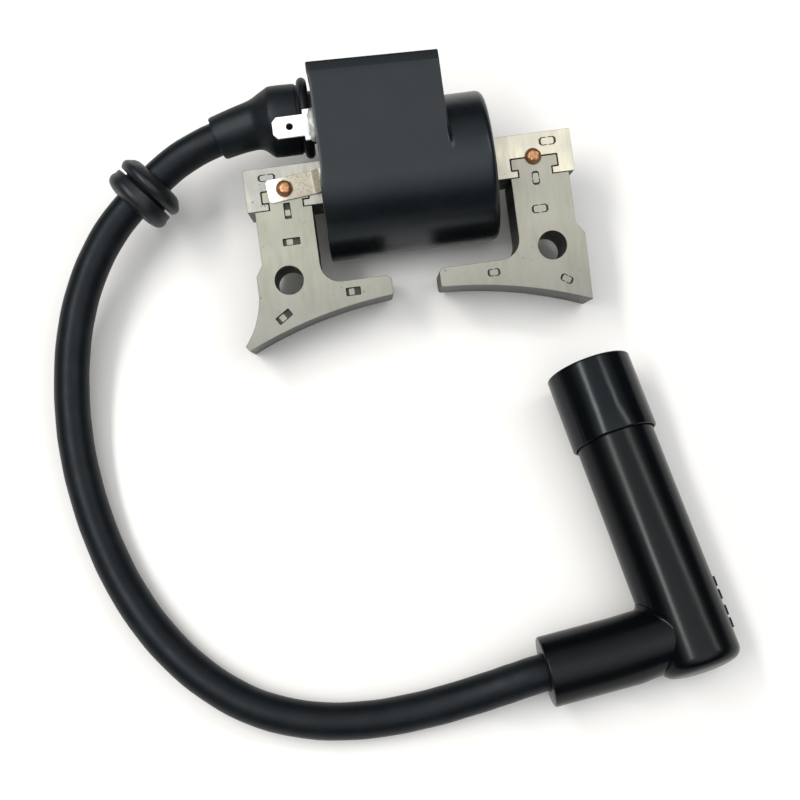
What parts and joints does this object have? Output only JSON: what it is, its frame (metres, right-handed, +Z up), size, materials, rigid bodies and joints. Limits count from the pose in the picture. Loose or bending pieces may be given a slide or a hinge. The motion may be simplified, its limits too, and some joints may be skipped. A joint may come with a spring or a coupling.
{
  "type": "ignition coil",
  "caption": "Small-engine ignition coil on a two-legged laminated core, with switch blade, plug lead, grommet and elbow plug cap.",
  "frame": {"origin": "on the surface the coil rests on, under the centre of the coil's own box, without the lead, grommet and cap", "axes": "+X along the core bar, from the lead side to the closed end of the housing; +Z up from the surface; +Y level, towards the circuit box. The coil leans about X until its round housing and its pole shoes touch the surface."},
  "size_m": [0.1418, 0.1518, 0.0408],
  "materials": {
    "housing_plastic": "satin",
    "resin": "glossy cast resin",
    "lamination_steel": "bare sheet steel, cut edges darker",
    "copper": "copper plated",
    "tinned_strap": "tinned, dull",
    "tinned_blade": "tinned, bright",
    "bobbin_plastic": "satin",
    "magnet_wire": "enamelled",
    "board_laminate": "satin",
    "component_black": "matte",
    "component_ceramic": "matte",
    "component_film": "glossy",
    "wire_insulation": "glossy",
    "brass": "satin",
    "boot_rubber": "satin",
    "lead_rubber": "satin",
    "grommet_rubber": "satin",
    "cap_plastic": "glossy moulding",
    "cap_rubber": "smooth, semi-gloss",
    "spring_steel": "bright"
  },
  "bodies": {
    "coil": {"housing_shell": "housing_plastic", "potting_resin": "resin", "core_bar": "lamination_steel", "left_leg": "lamination_steel", "right_leg": "lamination_steel", "strap_rivet": "copper", "lock_rivet": "copper", "ground_strap": "tinned_strap", "kill_terminal": "tinned_blade", "primary_bobbin": "bobbin_plastic", "primary_winding": "magnet_wire", "secondary_bobbin": "bobbin_plastic", "secondary_winding": "magnet_wire", "circuit_board": "board_laminate", "power_transistor": "component_black", "control_chip": "component_black", "board_resistors": "component_ceramic", "board_capacitor": "component_film", "primary_leads": "magnet_wire", "board_wires": "wire_insulation", "hv_terminal": "brass", "hv_tower": "housing_plastic", "tower_boot": "boot_rubber", "hv_lead": "lead_rubber", "lead_conductor": "copper"},
    "grommet": {"grommet": "grommet_rubber"},
    "plug_cap": {"cap_body": "cap_plastic", "cap_seal": "cap_rubber", "cap_screw": "brass", "cap_resistor": "component_ceramic", "cap_spring": "spring_steel", "cap_contact": "brass"}
  },
  "joints": [
    {"name": "grommet_slide", "type": "slide", "parent": "coil", "child": "grommet", "axis": [-0.7778, -0.6015, -0.1823], "range_m": [-0.003, 0.003]},
    {"name": "cap_swivel", "type": "hinge", "parent": "coil", "child": "plug_cap", "pos_m": [0.04711, -0.10722, 0.0089], "axis": [0.9929, 0.1193, 0], "range_deg": [-90, 90]}
  ]
}
